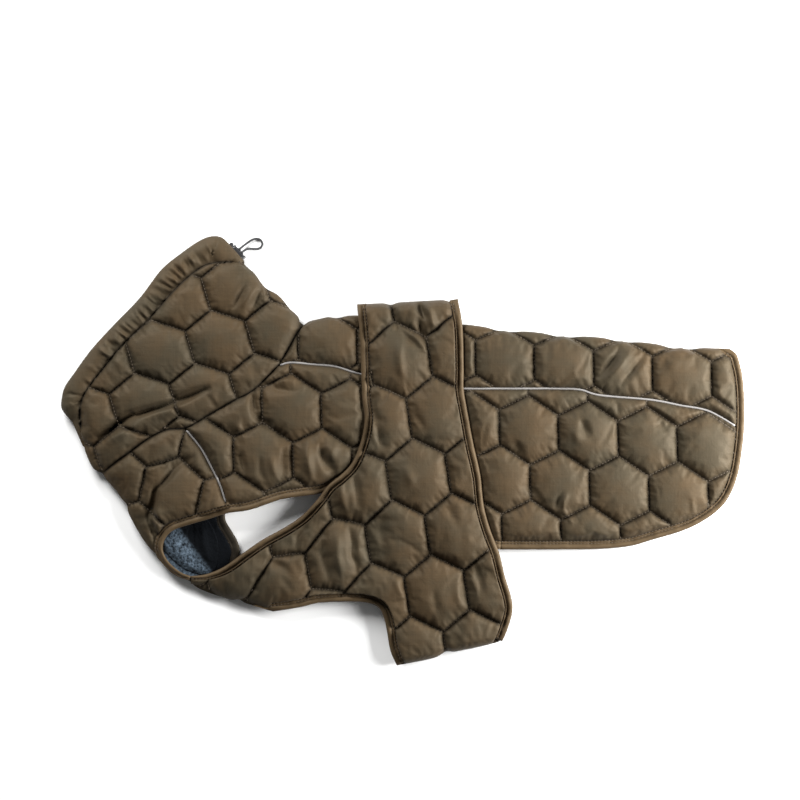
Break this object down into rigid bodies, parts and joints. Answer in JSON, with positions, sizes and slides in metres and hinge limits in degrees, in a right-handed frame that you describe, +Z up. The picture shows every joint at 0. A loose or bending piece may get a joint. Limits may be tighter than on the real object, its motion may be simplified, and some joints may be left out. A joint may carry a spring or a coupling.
{
  "type": "quilted dog winter coat, laid flat on its side",
  "caption": "Quilted dog winter coat lying flat: funnel collar with drawcord, back and side panels, chest panel with armholes, and a belly band round the body.",
  "frame": {"origin": "on the surface that the coat lies on, under the middle of its box", "axes": "+X from the collar to the hem, +Y from the belly to the spine, +Z up from the surface to the near side"},
  "size_m": [0.6163, 0.3876, 0.0223],
  "materials": {
    "quilted_nylon": "satin olive-brown nylon taffeta, padded and quilted in hexagons",
    "binding_tape": "folded woven tape with a double stitch line",
    "fleece_lining": "brushed grey-blue fleece",
    "reflective_piping": "light grey reflective piping",
    "black_plastic": "moulded, slightly glossy",
    "black_elastic": "braided elastic cord"
  },
  "bodies": {
    "root": {"collar": "quilted_nylon", "drawcord_casing": "quilted_nylon", "back_panel": "quilted_nylon", "side_panel_near": "quilted_nylon", "side_panel_far": "quilted_nylon", "chest_panel": "quilted_nylon", "chest_lining": "fleece_lining", "belly_panel": "quilted_nylon", "belly_band_far": "quilted_nylon", "armhole_binding_near": "binding_tape", "hem_binding_near": "binding_tape", "armhole_binding_far": "binding_tape", "hem_binding_far": "binding_tape", "band_front_binding": "binding_tape", "band_lower_binding": "binding_tape", "band_rear_binding": "binding_tape", "back_piping": "reflective_piping", "shoulder_piping": "reflective_piping", "cord_lock": "black_plastic", "cord_lock_button": "black_plastic", "drawcord": "black_elastic"}
  },
  "joints": []
}
